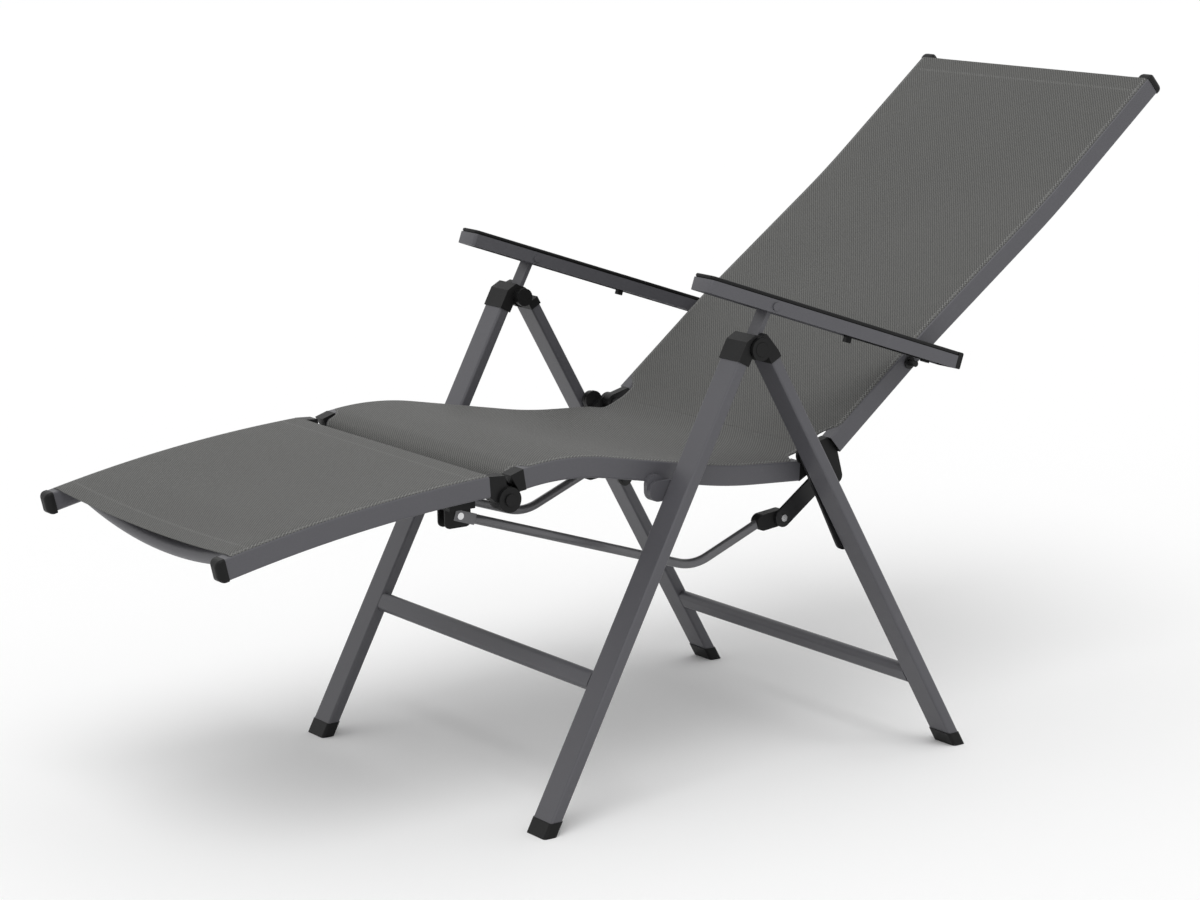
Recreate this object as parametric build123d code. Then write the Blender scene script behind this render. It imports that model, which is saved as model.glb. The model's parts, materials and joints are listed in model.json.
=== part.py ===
"""Reclining garden armchair: folding flat-tube frame, stretched fabric and a footrest.

Everything is in millimetres, +Z up, floor at Z = 0, mirrored about X = 0. The chair faces -Y and
the sitter's left is +X. Side-view places are (y, z) pairs with y = 0 at the leg pivot, and the
whole chair is moved along Y at the end, so that its box is centred on the origin.
"""
from build123d import *
from math import atan2, cos, degrees, hypot, radians, sin, tan
import os

# Leg frame
leg_pivot = (0.0, 562.0)
leg_width = 40.0
leg_depth = 15.0
leg_wall = 1.5
leg_corner = 3.0
leg_inner_x = 250.0
leg_tilt = 28.43
leg_setback = 14.25
leg_start = 16.0
foot_lift = 3.0
foot_cap_height = 18.0
foot_cap_wall = 1.0
front_bar_z = 171.5
front_bar_height = 25.0
rear_bar_z = 97.5
rear_bar_height = 27.0
crossbar_depth = 15.0
crossbar_wall = 1.5

# Heads at the leg pivot
head_wall = 1.0
head_split_x = 279.0
head_disc_radius = 14.0
head_shoulder_radius = 20.5
head_seat_radius = 15.5
head_sleeve_end = 26.0
head_top_rise = 13.0
boss_radius = 14.3
boss_height = 4.0
inner_boss_radius = 12.0
inner_boss_height = 11.0
pivot_radius = 5.0
pivot_head_radius = 9.0
pivot_head_height = 2.2
running_gap = 0.3
bore_clearance = 0.05

# Arm posts and arms
post_inner_x = 257.0
post_width = 22.0
post_depth = 6.0
post_eye_radius = 6.0
arm_inner_x = 248.0
arm_width = 40.0
arm_height = 16.5
arm_wall = 2.0
arm_length = 414.0
arm_tilt = 19.53
arm_front = (-69.8, 637.4)
arm_pivot_along = 100.0
arm_pivot_up = 8.0
arm_pin_radius = 3.0
arm_pin_head_radius = 5.0
arm_pin_head_height = 1.5
arm_cap_length = 8.0
pad_thickness = 5.0
pad_nose = 5.0
pad_round = 2.0
rack_start = 246.0
rack_end = 388.0
rack_depth = 7.0
rack_height = 9.0
rack_notches = 5
rack_notch_radius = 4.6
rack_stop_length = 8.0
rack_stop_drop = 7.0
rack_tab_start = 377.0
rack_tab_drop = 2.0
latch_along = 373.4
latch_drop = 7.3
latch_radius = 4.0
latch_flange_radius = 8.0
latch_flange_height = 2.0
latch_reach_x = 249.6

# Rails of the seat, the back and the footrest
rail_centre_x = 226.0
rail_width = 20.0
rail_height = 26.0
rail_wall = 1.5
rail_top_round = 2.0
rail_outer_round = 3.0
rail_inner_round = 9.0
seat_front_end = (-310.7, 432.4)
seat_crest = (-250.0, 441.5)
seat_dip = (-8.6, 394.2)
seat_rear_end = (101.7, 387.0)
seat_crest_radius = 340.0
seat_dip_radius = 600.0
back_low_end = (160.0, 413.0)
back_low_bend = (310.0, 532.3)
back_high_bend = (520.0, 683.8)
back_top_end = (698.8, 832.0)
back_bend_radius = 1500.0
footrest_rear_end = (-360.0, 429.0)
footrest_bend = (-537.5, 419.2)
footrest_front_end = (-713.0, 381.5)
footrest_bend_radius = 2000.0

# Seat pivots on the front legs
seat_pivot = (-126.0, 394.0)
seat_eye_radius = 12.5
seat_lug_rise = 8.0
seat_lug_thickness = 7.0
seat_pin_radius = 4.0
seat_pin_head_radius = 7.5
seat_pin_head_height = 3.0

# Hinge between the seat and the back, with the link that carries it
back_pivot = (130.0, 404.0)
hinge_radius = 13.0
hinge_pin_radius = 4.0
hinge_head_radius = 7.0
hinge_head_height = 2.2
seat_plate_thickness = 6.7
seat_plate_step = 0.4
collar_length = 0.6
link_top = (108.0, 408.0)
link_foot_z = 290.3
link_radius = 12.0
link_thickness = 4.0
link_boss_radius = 13.0
link_boss_top_x = 240.9
link_inner_x = 243.5
link_pin_radius = 4.0
link_head_radius = 7.0
link_head_height = 1.9
link_spacer_radius = 8.0

# Levers under the back and the rods to the footrest
lever_foot = (97.0, 322.0)
lever_head = (165.5, 371.0)
lever_radius = 12.0
lever_inner_x = 203.8
lever_thickness = 4.0
lever_boss_radius = 10.0
lever_rivet_radius = 3.0
lever_rivet_head_radius = 4.5
lever_rivet_head_height = 2.2
rod_radius = 6.0
rod_centre_x = 196.5
rod_low = (-38.0, 277.0)
rod_rise = (66.0, 318.6)
rod_low_radius = 65.0
rod_rise_radius = 40.0
rod_front_eye_radius = 7.0
rod_eye_half_width = 10.5
rod_eye_inner_x = 189.0
rod_eye_start_share = 0.945
rod_end_share = 0.97

# Hinge between the seat and the footrest
footrest_pivot = (-334.2, 410.8)
knee_radius = 15.5
knee_seat_radius = 17.0
knee_outer_thickness = 14.0
knee_ring_radius = 7.5
knee_ring_height = 2.0
seat_wedge_top = (-331.0, 439.5)
seat_wedge_foot = (-318.6, 418.4)
footrest_wedge_top = (-338.5, 440.5)
footrest_wedge_foot = (-352.5, 409.5)
plug_length = 12.0
plug_clearance = 0.15

# Footrest details
rod_pivot = (-384.0, 392.5)
rod_pin_radius = 2.5
rod_pin_head_radius = 4.3
rod_pin_head_height = 1.5
clip_front = -405.0
clip_rear = -369.0
clip_foot = 378.5
clip_thickness = 2.5
clip_top = 434.0
brace_y = -670.0
brace_end_z = 388.0
brace_bow = 25.5
brace_radius = 10.0
brace_wall = 1.2
cap_length = 12.0
cap_overlap = 1.0
cap_round = 8.0

# Cross tubes and fabric
seat_tube = (-316.0, 430.0)
seat_tube_radius = 10.0
back_tube_from_top = 60.0
back_tube_drop = 3.0
back_tube_radius = 9.0
tube_wall = 1.2
fabric_thickness = 1.4
fabric_seat_start = -322.0
fabric_seat_stop = 98.0
fabric_back_start = 16.0
fabric_back_stop = 4.0
fabric_footrest_start = -355.0
fabric_footrest_stop = -712.0

# Space to cut with, longer than any piece it goes through
overrun = 60.0

leg_outer_x = leg_inner_x + leg_width
leg_centre_x = leg_inner_x + leg_width / 2
rail_inner_x = rail_centre_x - rail_width / 2
rail_outer_x = rail_centre_x + rail_width / 2
lever_outer_x = lever_inner_x + lever_thickness


def side(points):
    """Closed side-view outline through the points."""
    return make_face(Polyline(*points, close=True))


def slab(face, x_from, x_to):
    """A side-view face given its thickness from one X to another."""
    return extrude(Plane.YZ.offset(x_from) * face, amount=x_to - x_from)


def disc(centre, radius):
    """Side-view disc."""
    return Pos(*centre) * Circle(radius)


def drum(centre, radius, x_from, x_to):
    """Cylinder along X."""
    return slab(disc(centre, radius), x_from, x_to)


def capsule(start, end, radius):
    """Side-view bar with round ends centred on two points."""
    length = hypot(end[0] - start[0], end[1] - start[1])
    turn = degrees(atan2(end[1] - start[1], end[0] - start[0]))
    middle = ((start[0] + end[0]) / 2, (start[1] + end[1]) / 2)
    return Pos(*middle) * Rot(0, 0, turn) * SlotCenterToCenter(length, 2 * radius)


def both(left):
    """The left piece and its mirror image."""
    return left + mirror(left, about=Plane.YZ)


def turned(point, centre, angle):
    """A side-view point turned about a centre, positive from Y to Z."""
    y, z = point[0] - centre[0], point[1] - centre[1]
    c, s = cos(radians(angle)), sin(radians(angle))
    return centre[0] + c * y - s * z, centre[1] + s * y + c * z


def leg_point(rear, down, out):
    """A point down the leg from the pivot, and out from the pivot towards that leg's outer face."""
    way = 1 if rear else -1
    t = radians(leg_tilt)
    y = leg_pivot[0] + way * (down * sin(t) + out * cos(t))
    z = leg_pivot[1] - down * cos(t) + out * sin(t)
    return y, z


def leg_axis_y(rear, z):
    """Where a leg's centre line is at a height."""
    way = 1 if rear else -1
    fall = leg_pivot[1] - z + leg_setback * sin(radians(leg_tilt))
    return leg_pivot[0] + way * (fall * tan(radians(leg_tilt)) + leg_setback * cos(radians(leg_tilt)))


def leg_box(rear, start, grow, x_grow):
    """Solid bar on a leg's centre line, from a distance below the pivot to below the floor."""
    way = 1 if rear else -1
    origin = leg_point(rear, start, leg_setback)
    down = (0, way * sin(radians(leg_tilt)), -cos(radians(leg_tilt)))
    plane = Plane(origin=(leg_centre_x, *origin), x_dir=(1, 0, 0), z_dir=down)
    corner = leg_corner + grow
    section = RectangleRounded(leg_width + 2 * x_grow, leg_depth + 2 * grow, corner)
    length = (leg_pivot[1] + overrun) / cos(radians(leg_tilt))
    return extrude(plane * section, amount=length)


def above(z):
    """Everything of the chair above a height."""
    reach = 4 * leg_pivot[1]
    return Pos(0, 0, z + reach / 2) * Box(2 * reach, 2 * reach, reach)


def leg(rear):
    """Flat hollow leg tube, cut level above the floor inside its foot cap."""
    tube = leg_box(rear, leg_start, 0, 0) - leg_box(rear, leg_start, -leg_wall, -leg_wall)
    return tube & above(foot_lift)


def foot_caps(rear):
    """Plastic caps that the legs stand on."""
    cap = leg_box(rear, leg_start, foot_cap_wall, foot_cap_wall) & above(0)
    cap = cap - above(foot_cap_height)
    return both(cap - (leg_box(rear, leg_start, 0, 0) & above(foot_lift)))


def crossbar(rear, z, height):
    """Rounded flat bar between the inner faces of a pair of legs."""
    way = 1 if rear else -1
    down = (0, way * sin(radians(leg_tilt)), -cos(radians(leg_tilt)))
    plane = Plane(origin=(-leg_inner_x, leg_axis_y(rear, z), z), x_dir=down, z_dir=(1, 0, 0))
    outer = RectangleRounded(height, crossbar_depth, crossbar_depth * 0.49)
    inner = offset(outer, -crossbar_wall)
    return extrude(plane * (outer - inner), amount=2 * leg_inner_x)


def head_sleeve(rear):
    """Side view of a head's sleeve round the leg tube."""
    near = leg_setback - leg_depth / 2 - head_wall
    far = leg_setback + leg_depth / 2 + head_wall
    start = leg_start - head_wall
    corners = [(start, near), (head_sleeve_end, near), (head_sleeve_end, far), (start, far)]
    return side([leg_point(rear, down, out) for down, out in corners])


def front_heads():
    """Heads of the front legs: sleeve, front shoulder and the inner half of the pivot."""
    out = leg_setback + leg_depth / 2 + head_wall
    shoulder = side(
        [
            leg_point(False, leg_start, leg_setback - leg_depth / 2),
            leg_point(False, leg_start, out),
            leg_point(False, 0, out),
            leg_point(False, -head_top_rise, leg_setback),
            leg_point(False, -head_top_rise, 0),
            leg_pivot,
        ]
    )
    x_in = leg_inner_x - head_wall
    x_out = leg_outer_x + head_wall
    inner = slab(shoulder + disc(leg_pivot, head_disc_radius), x_in, head_split_x)
    outer = slab(shoulder - disc(leg_pivot, head_seat_radius), head_split_x, x_out)
    sleeve = slab(head_sleeve(False), x_in, x_out)
    hump = drum(leg_pivot, inner_boss_radius, x_in - inner_boss_height, x_in)
    head = inner + outer + sleeve + hump - leg_box(False, leg_start, 0, 0)
    return both(head - drum(leg_pivot, pivot_radius, 0, leg_outer_x))


def rear_heads():
    """Heads of the rear legs: sleeve and the outer half of the pivot, with its round boss."""
    out = leg_setback + leg_depth / 2 + head_wall
    x_in = leg_inner_x - head_wall
    x_out = leg_outer_x + head_wall
    tongue_x = head_split_x + running_gap
    shoulder = side(
        [
            leg_pivot,
            turned((leg_pivot[0], leg_pivot[1] + head_disc_radius), leg_pivot, 0),
            turned((leg_pivot[0], leg_pivot[1] + head_shoulder_radius), leg_pivot, -30),
            turned((leg_pivot[0], leg_pivot[1] + head_shoulder_radius), leg_pivot, -70),
            leg_point(True, leg_start, out),
            leg_point(True, leg_start, leg_setback - leg_depth / 2),
        ]
    )
    tongue = slab(shoulder + disc(leg_pivot, boss_radius), tongue_x, x_out)
    sleeve = slab(head_sleeve(True) - disc(leg_pivot, head_disc_radius + running_gap), x_in, x_out)
    boss = drum(leg_pivot, boss_radius, x_out, x_out + boss_height)
    head = tongue + sleeve + boss - leg_box(True, leg_start, 0, 0)
    head = head - drum(leg_pivot, pivot_radius + bore_clearance, 0, x_out + boss_height)
    recess_x = x_out + boss_height - pivot_head_height + running_gap
    return both(head - drum(leg_pivot, pivot_head_radius + running_gap, recess_x, recess_x + overrun))


def top_pivots():
    """Pivot bolts through both heads, with their flat outer heads."""
    x_top = leg_outer_x + head_wall + boss_height + running_gap
    x_low = leg_inner_x - head_wall - inner_boss_height
    bolt = drum(leg_pivot, pivot_radius, x_low, x_top)
    return both(bolt + drum(leg_pivot, pivot_head_radius, x_top - pivot_head_height + running_gap, x_top))


def arm_at(along, up):
    """A point along an arm's underside from its front end, and up from the underside."""
    t = radians(arm_tilt)
    y = arm_front[0] + along * cos(t) + up * sin(t)
    z = arm_front[1] - along * sin(t) + up * cos(t)
    return y, z


def arm_face(points):
    """Side-view outline given in (along, up) places of the arm."""
    return side([arm_at(along, up) for along, up in points])


arm_pivot = arm_at(arm_pivot_along, arm_pivot_up)
latch = arm_at(latch_along, -latch_drop)
arm_outer_x = arm_inner_x + arm_width


def arm_posts():
    """Flat bars from the front heads up into the arms, with an eye at the arm pivot."""
    face = capsule(leg_pivot, arm_pivot, post_depth / 2) + disc(arm_pivot, post_eye_radius)
    post = slab(face, post_inner_x, post_inner_x + post_width)
    post = post - drum(leg_pivot, head_disc_radius, 0, leg_outer_x)
    return both(post - drum(arm_pivot, arm_pin_radius + bore_clearance, 0, leg_outer_x))


def arm_pins():
    """Pins that the arms turn on."""
    pin = drum(arm_pivot, arm_pin_radius, arm_inner_x - arm_pin_head_height, arm_outer_x + arm_pin_head_height)
    for x in (arm_inner_x - running_gap, arm_outer_x + running_gap + arm_pin_head_height):
        pin += drum(arm_pivot, arm_pin_head_radius, x - arm_pin_head_height, x)
    return both(pin)


def arm():
    """Left arm: a channel open below, with a closed front."""
    length = arm_length - arm_cap_length
    body = slab(
        arm_face([(0, 0), (length, 0), (length, arm_height), (0, arm_height)]), arm_inner_x, arm_outer_x
    )
    roof = arm_height - arm_wall
    room = arm_face(
        [(arm_wall, -overrun), (length + overrun, -overrun), (length + overrun, roof), (arm_wall, roof)]
    )
    body -= slab(room, arm_inner_x + arm_wall, arm_outer_x - arm_wall)
    return body - drum(arm_pivot, arm_pin_radius + bore_clearance, 0, arm_outer_x)


def arm_pad():
    """Left pad on top of the arm, rolled down over its front end."""
    top = arm_height + pad_thickness
    length = arm_length - arm_cap_length
    face = arm_face(
        [(-pad_nose, 0), (0, 0), (0, arm_height), (length, arm_height), (length, top), (-pad_nose, top)]
    )
    pad = slab(face, arm_inner_x, arm_outer_x)
    nose = pad.edges().filter_by(Axis.X).sort_by(Axis.Z)[-1:]
    pad = fillet(nose, pad_nose * 0.9)
    return pad


def arm_cap():
    """Left rear end cap of the arm, as high as the arm and its pad."""
    start = arm_length - arm_cap_length
    top = arm_height + pad_thickness
    face = arm_face([(start, 0), (arm_length, 0), (arm_length, top), (start, top)])
    cap = slab(face, arm_inner_x, arm_outer_x)
    far = cap.edges().filter_by(Axis.X).sort_by(Axis.Y)[-2:]
    return fillet(far, pad_round)


def arm_rack():
    """Left rack inside the arm, with a front stop and a rear tab for the latch pin."""
    bar = arm_face([(rack_start, 0), (rack_end, 0), (rack_end, rack_height), (rack_start, rack_height)])
    stop_end = rack_start + rack_stop_length
    bar += arm_face(
        [(rack_start, -rack_stop_drop), (stop_end, -rack_stop_drop), (stop_end, 0), (rack_start, 0)]
    )
    bar += arm_face(
        [(rack_tab_start, -rack_tab_drop), (rack_end, -rack_tab_drop), (rack_end, 0), (rack_tab_start, 0)]
    )
    pitch = (latch_along - rack_start - rack_stop_length) / rack_notches
    for i in range(rack_notches):
        place = arm_at(latch_along - i * pitch, -rack_notch_radius / 2)
        bar -= disc(place, rack_notch_radius)
    inner = arm_inner_x + arm_wall
    return slab(bar, inner, inner + rack_depth)


def rail_section(grow):
    """Rail section seen along the rail, with inward to the right and up above."""
    face = Rectangle(rail_width + 2 * grow, rail_height + 2 * grow)
    low = face.vertices().sort_by(Axis.Y)[:2].sort_by(Axis.X)
    face = fillet(low[1], rail_inner_round + grow)
    low = face.vertices().sort_by(Axis.Y)[:3].sort_by(Axis.X)
    face = fillet(low[0], rail_outer_round + grow)
    high = face.vertices().sort_by(Axis.Y)[-2:]
    return fillet(high, rail_top_round + grow)


def along(path, face):
    """A section carried along a side-view path."""
    plane = Plane(origin=path @ 0, x_dir=(-1, 0, 0), z_dir=path % 0)
    return sweep(plane * face, path=path)


def rail_path(points, radii):
    """Side-view centre line of a left rail."""
    return Plane.YZ.offset(rail_centre_x) * FilletPolyline(*points, radius=radii)


seat_points = (seat_front_end, seat_crest, seat_dip, seat_rear_end)
seat_radii = (seat_crest_radius, seat_dip_radius)
back_points = (back_low_end, back_low_bend, back_high_bend, back_top_end)
back_radii = (back_bend_radius, back_bend_radius)
footrest_points = (footrest_rear_end, footrest_bend, footrest_front_end)
footrest_radii = (footrest_bend_radius,)

seat_path = rail_path(seat_points, seat_radii)
back_path = rail_path(back_points, back_radii)
footrest_path = rail_path(footrest_points[::-1], footrest_radii)


def rail_bar(path):
    """Filled outer shape of a left rail."""
    return along(path, rail_section(0))


def rail(path):
    """Left rail, a hollow tube."""
    return rail_bar(path) - along(path, rail_section(-rail_wall))


def end_plane(path, at_end):
    """Plane on a rail's end, pointing out of the rail."""
    place = 1 if at_end else 0
    out = path % place if at_end else -(path % place)
    return Plane(origin=path @ place, x_dir=(-1 if at_end else 1, 0, 0), z_dir=out)


def end_corners(path, at_end):
    """Top and bottom side-view corners of a rail's end."""
    plane = end_plane(path, at_end)
    up = plane.y_dir * (rail_height / 2)
    return [(plane.origin.Y + way * up.Y, plane.origin.Z + way * up.Z) for way in (1, -1)]


def rail_plug(path, at_end):
    """Plug inside a left rail's end."""
    shrink = 2 * (rail_wall + plug_clearance)
    face = Rectangle(rail_width - shrink, rail_height - shrink)
    face = fillet(face.vertices(), rail_inner_round - rail_wall)
    return extrude(end_plane(path, at_end) * face, amount=-plug_length)


def rail_cap(path, at_end):
    """Domed cap on a left rail's end."""
    plane = end_plane(path, at_end)
    face = Rectangle(rail_width + 2 * cap_overlap, rail_height + 2 * cap_overlap)
    face = fillet(face.vertices(), rail_outer_round)
    cap = extrude(plane * face, amount=cap_length)
    far = cap.faces().sort_by(lambda f: (f.center() - plane.origin).dot(plane.z_dir))[-1]
    return fillet(far.edges(), cap_round)


def fabric(path, x_reach, start_y, stop_y):
    """Stretched fabric on top of a pair of rails, between two places along Y."""
    up = rail_height / 2 + fabric_thickness / 2
    face = Pos(rail_centre_x, up) * Rectangle(2 * x_reach, fabric_thickness)
    sheet = along(path, face)
    middle = (start_y + stop_y) / 2
    room = Pos(0, middle, leg_pivot[1]) * Box(4 * x_reach, stop_y - start_y, 4 * leg_pivot[1])
    return sheet & room


def leg_brackets():
    """Plates on the inner faces of the front legs that carry the seat pivots."""
    on_leg = (leg_axis_y(False, seat_pivot[1]), seat_pivot[1])
    start = rail_outer_x + seat_lug_thickness + running_gap
    plate = slab(capsule(seat_pivot, on_leg, seat_eye_radius), start, leg_inner_x)
    return both(plate - drum(seat_pivot, seat_pin_radius, 0, leg_inner_x))


def seat_pivots():
    """Rivets of the seat pivots, headed inside."""
    head_x = rail_outer_x - running_gap
    pin = drum(seat_pivot, seat_pin_radius, head_x, leg_inner_x)
    return both(pin + drum(seat_pivot, seat_pin_head_radius, head_x - seat_pin_head_height, head_x))


def seat_lugs():
    """Lugs on the outer faces of the seat rails, with the seat pivot's bore."""
    on_rail = (seat_pivot[0], seat_pivot[1] + seat_lug_rise)
    face = capsule(seat_pivot, on_rail, seat_eye_radius)
    lug = slab(face, rail_outer_x, rail_outer_x + seat_lug_thickness)
    lug = lug & above(seat_pivot[1] - seat_eye_radius)
    return both(lug - drum(seat_pivot, seat_pin_radius + bore_clearance, 0, leg_inner_x))


def seat_collar():
    """Full-width block behind a seat rail, short of the back's knuckle."""
    top, low = end_corners(seat_path, True)
    rear = [(y + collar_length, z) for y, z in (low, top)]
    return slab(side([top, low, *rear]), rail_inner_x, rail_outer_x)


def seat_rear_fittings():
    """Black fittings behind the seat rails: plug, hinge plate and the link's boss."""
    top, low = end_corners(seat_path, True)
    tail = make_hull((side([top, low, back_pivot]) + disc(back_pivot, hinge_radius)).edges())
    plate_x = rail_outer_x - seat_plate_thickness
    boss_x = rail_outer_x + seat_plate_step
    part = slab(tail, plate_x, boss_x)
    part += slab(disc(link_top, link_boss_radius), boss_x, link_boss_top_x)
    part += rail_plug(seat_path, True) + seat_collar()
    return both(part - drum(back_pivot, hinge_pin_radius + bore_clearance, 0, leg_inner_x))


def back_pins():
    """Hinge pins between the seat and the back, headed on both sides."""
    low = rail_inner_x - running_gap
    high = rail_outer_x + seat_plate_step + running_gap
    pin = drum(back_pivot, hinge_pin_radius, low, high)
    pin += drum(back_pivot, hinge_head_radius, low - hinge_head_height, low)
    return both(pin + drum(back_pivot, hinge_head_radius, high, high + hinge_head_height))


def back_hinges():
    """Black fittings at the foot of the back rails: plug, knuckle and the lever's boss."""
    outline = side([*end_corners(back_path, False), back_pivot])
    outline += disc(back_pivot, hinge_radius) + disc(lever_head, lever_boss_radius)
    knuckle_x = rail_outer_x - seat_plate_thickness - running_gap
    part = slab(make_hull(outline.edges()), rail_inner_x, knuckle_x)
    part += slab(disc(lever_head, lever_boss_radius), lever_outer_x, rail_inner_x)
    part += rail_plug(back_path, False)
    part -= drum(lever_head, lever_rivet_radius, lever_outer_x, rail_centre_x)
    return both(part - drum(back_pivot, hinge_pin_radius + bore_clearance, 0, leg_inner_x))


def levers():
    """Flat bars fixed to the back, whose feet push the rods."""
    bar = slab(capsule(lever_foot, lever_head, lever_radius), lever_inner_x, lever_outer_x)
    bar -= drum(lever_foot, lever_rivet_radius, 0, leg_inner_x)
    return both(bar - drum(lever_head, lever_rivet_radius, 0, leg_inner_x))


def lever_rivets():
    """Rivets of the levers: one beside the rod's eye, one into the back's fitting."""
    height = lever_rivet_head_height
    rivets = drum(lever_foot, lever_rivet_radius, lever_inner_x, lever_outer_x)
    rivets += drum(lever_foot, lever_rivet_head_radius, lever_outer_x, lever_outer_x + height)
    rivets += drum(lever_head, lever_rivet_radius, lever_inner_x, rail_centre_x)
    return both(rivets + drum(lever_head, lever_rivet_head_radius, lever_inner_x - height, lever_inner_x))


def latch_pins():
    """Pins on the back rails that stand under the arms."""
    pin = drum(latch, latch_radius, rail_outer_x, latch_reach_x)
    return both(pin + drum(latch, latch_flange_radius, rail_outer_x, rail_outer_x + latch_flange_height))


link_foot = (leg_axis_y(True, link_foot_z), link_foot_z)
link_outer_x = link_inner_x + link_thickness


def link():
    """Left flat bar from a rear leg up to the seat's rear fitting."""
    bar = slab(capsule(link_foot, link_top, link_radius), link_inner_x, link_outer_x)
    bar -= drum(link_top, link_pin_radius, 0, leg_inner_x)
    return bar - drum(link_foot, link_pin_radius + bore_clearance, 0, leg_inner_x)


def link_rivet():
    """Left rivet in the top of a link, with a collar towards the seat's boss."""
    start = link_boss_top_x + running_gap
    pin = drum(link_top, link_pin_radius, start, link_outer_x)
    pin += drum(link_top, link_spacer_radius, start, link_inner_x)
    return pin + drum(link_top, link_head_radius, link_outer_x, link_outer_x + link_head_height)


def link_pivots():
    """Pins on the rear legs that the links turn on."""
    low = link_inner_x - running_gap
    pin = drum(link_foot, link_pin_radius, low, leg_inner_x)
    pin += drum(link_foot, link_head_radius, low - link_head_height, low)
    return both(pin + drum(link_foot, link_spacer_radius, link_outer_x + running_gap, leg_inner_x))


rod_path = Plane.YZ.offset(rod_centre_x) * FilletPolyline(
    rod_pivot, rod_low, rod_rise, lever_foot, radius=(rod_low_radius, rod_rise_radius)
)


def rod_bar():
    """Left bent rod before its ends are cut."""
    plane = Plane(origin=rod_path @ 0, x_dir=(1, 0, 0), z_dir=rod_path % 0)
    return sweep(plane * Circle(rod_radius), path=rod_path)


def rod_eye_blank():
    """Side view of the black eye on a rod's rear end."""
    start = rod_path @ rod_eye_start_share
    return capsule((start.Y, start.Z), lever_foot, rod_eye_half_width)


def rod():
    """Left push rod with a front eye, ending inside its rear eye."""
    stop = rod_path @ rod_end_share
    way = rod_path % rod_end_share
    plane = Plane(origin=stop, x_dir=(1, 0, 0), z_dir=way)
    beyond = extrude(plane * Circle(2 * rod_radius), amount=overrun)
    bar = rod_bar() - beyond
    half = rod_radius
    bar += drum(rod_pivot, rod_front_eye_radius, rod_centre_x - half, rod_centre_x + half)
    return bar - drum(rod_pivot, rod_pin_radius + bore_clearance, 0, leg_inner_x)


def rod_eye():
    """Left black eye on the rod's rear end, beside the lever."""
    eye = slab(rod_eye_blank(), rod_eye_inner_x, lever_inner_x - running_gap)
    return eye - rod()


def seat_front_fittings():
    """Black fittings in front of the seat rails, with the inner half of the knee hinge."""
    top, low = end_corners(seat_path, False)
    wedge = side([top, seat_wedge_top, seat_wedge_foot, low])
    ear_x = rail_centre_x - running_gap
    part = slab(wedge - disc(footrest_pivot, knee_seat_radius), rail_inner_x, rail_outer_x)
    ear = make_hull((side([seat_wedge_foot, low, footrest_pivot]) + disc(footrest_pivot, knee_radius)).edges())
    part += slab(ear, rail_inner_x, ear_x)
    part += rail_plug(seat_path, False)
    return both(part - drum(footrest_pivot, hinge_pin_radius + bore_clearance, 0, leg_inner_x))


def footrest_hinges():
    """Black fittings behind the footrest rails, with the outer half of the knee hinge."""
    top, low = end_corners(footrest_path, True)
    wedge = side([top, footrest_wedge_top, footrest_pivot, footrest_wedge_foot, low])
    ear_x = rail_centre_x
    part = slab(wedge - disc(footrest_pivot, knee_seat_radius), rail_inner_x, rail_outer_x)
    outer = disc(footrest_pivot, knee_radius) + wedge
    part += slab(outer, ear_x, rail_outer_x)
    part += drum(footrest_pivot, knee_radius, ear_x, ear_x + knee_outer_thickness)
    part += rail_plug(footrest_path, True)
    return both(part - drum(footrest_pivot, hinge_pin_radius + bore_clearance, 0, leg_inner_x))


def footrest_pins():
    """Pins of the knee hinge, with a ring outside and a head inside."""
    low = rail_inner_x - running_gap
    high = rail_centre_x + knee_outer_thickness + running_gap
    pin = drum(footrest_pivot, hinge_pin_radius, low, high)
    pin += drum(footrest_pivot, hinge_head_radius, low - hinge_head_height, low)
    return both(pin + drum(footrest_pivot, knee_ring_radius, high, high + knee_ring_height))


def clip_face(low, high):
    """Side view of a clip's plate between two heights."""
    return side([(clip_front, low), (clip_rear, low), (clip_rear, high), (clip_front, high)])


def footrest_clips():
    """Clips inside the footrest rails that hold the rods' front eyes from above."""
    eye = rod_radius + running_gap
    inner, outer = rod_centre_x - eye - clip_thickness, rod_centre_x + eye
    roof = rod_pivot[1] + rod_front_eye_radius + clip_thickness
    face = clip_face(clip_foot, roof + clip_thickness)
    face = fillet(face.vertices().sort_by(Axis.Y)[:2], rod_front_eye_radius)
    clip = slab(face, inner, inner + clip_thickness) + slab(face, outer, outer + clip_thickness)
    clip += slab(clip_face(roof, roof + clip_thickness), inner, rail_inner_x)
    clip += slab(clip_face(roof, clip_top), rail_inner_x - clip_thickness, rail_inner_x)
    return both(clip - drum(rod_pivot, rod_pin_radius + bore_clearance, 0, leg_inner_x))


def rod_pins():
    """Pins through the clips and the rods' front eyes."""
    eye = rod_radius + running_gap + clip_thickness + running_gap
    low, high = rod_centre_x - eye, rod_centre_x + eye
    pin = drum(rod_pivot, rod_pin_radius, low, high)
    pin += drum(rod_pivot, rod_pin_head_radius, low - rod_pin_head_height, low)
    return both(pin + drum(rod_pivot, rod_pin_head_radius, high, high + rod_pin_head_height))


def footrest_brace():
    """Tube between the footrest rails, bowed down in the middle."""
    reach = rail_inner_x + brace_radius
    drop = brace_bow * (reach / rail_inner_x) ** 2
    middle = brace_end_z - brace_bow
    ends = [(x, brace_y, middle + drop) for x in (-reach, reach)]
    path = ThreePointArc(ends[0], (0, brace_y, middle), ends[1])
    plane = Plane(origin=path @ 0, z_dir=path % 0)
    tube = sweep(plane * Circle(brace_radius), path=path)
    tube -= sweep(plane * Circle(brace_radius - brace_wall), path=path)
    room = Pos(0, brace_y, brace_end_z) * Box(2 * rail_inner_x, 4 * brace_radius, 4 * overrun)
    return tube & room


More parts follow.
